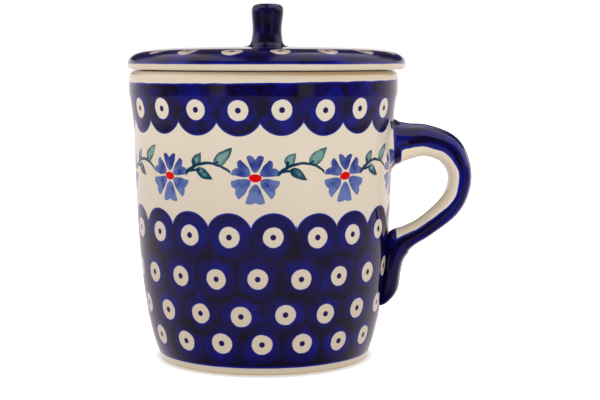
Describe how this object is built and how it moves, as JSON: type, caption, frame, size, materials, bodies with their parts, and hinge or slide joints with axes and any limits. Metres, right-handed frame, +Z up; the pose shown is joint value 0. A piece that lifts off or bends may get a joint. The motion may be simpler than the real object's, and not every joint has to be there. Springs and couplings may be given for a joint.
{
  "type": "lidded stoneware mug",
  "caption": "Stoneware mug with a strap handle and a loose domed lid with a knob, decorated in cobalt with stamped dots, scallops, flowers and leafy sprigs.",
  "frame": {"origin": "centre of the flat foot, on the cup's axis", "axes": "+Z up along the cup's axis, +X towards the handle"},
  "size_m": [0.1117, 0.0898, 0.1149],
  "materials": {
    "cup_glaze": "glossy clear glaze over cobalt, green and red underglaze painting on cream stoneware",
    "handle_glaze": "glossy cobalt glaze, cream on the inner side",
    "lid_glaze": "glossy clear glaze over stamped cobalt, cream at the edge and underneath",
    "ring_glaze": "glossy clear glaze on cream stoneware",
    "knob_glaze": "glossy dark cobalt glaze"
  },
  "bodies": {
    "mug": {"mug_body": "cup_glaze", "handle": "handle_glaze"},
    "lid_assembly": {"lid": "lid_glaze", "lid_ring": "ring_glaze", "lid_knob": "knob_glaze"}
  },
  "joints": [
    {"name": "lid_lift", "type": "slide", "parent": "mug", "child": "lid_assembly", "axis": [0, 0, 1], "range_m": [0, 0.06]}
  ]
}
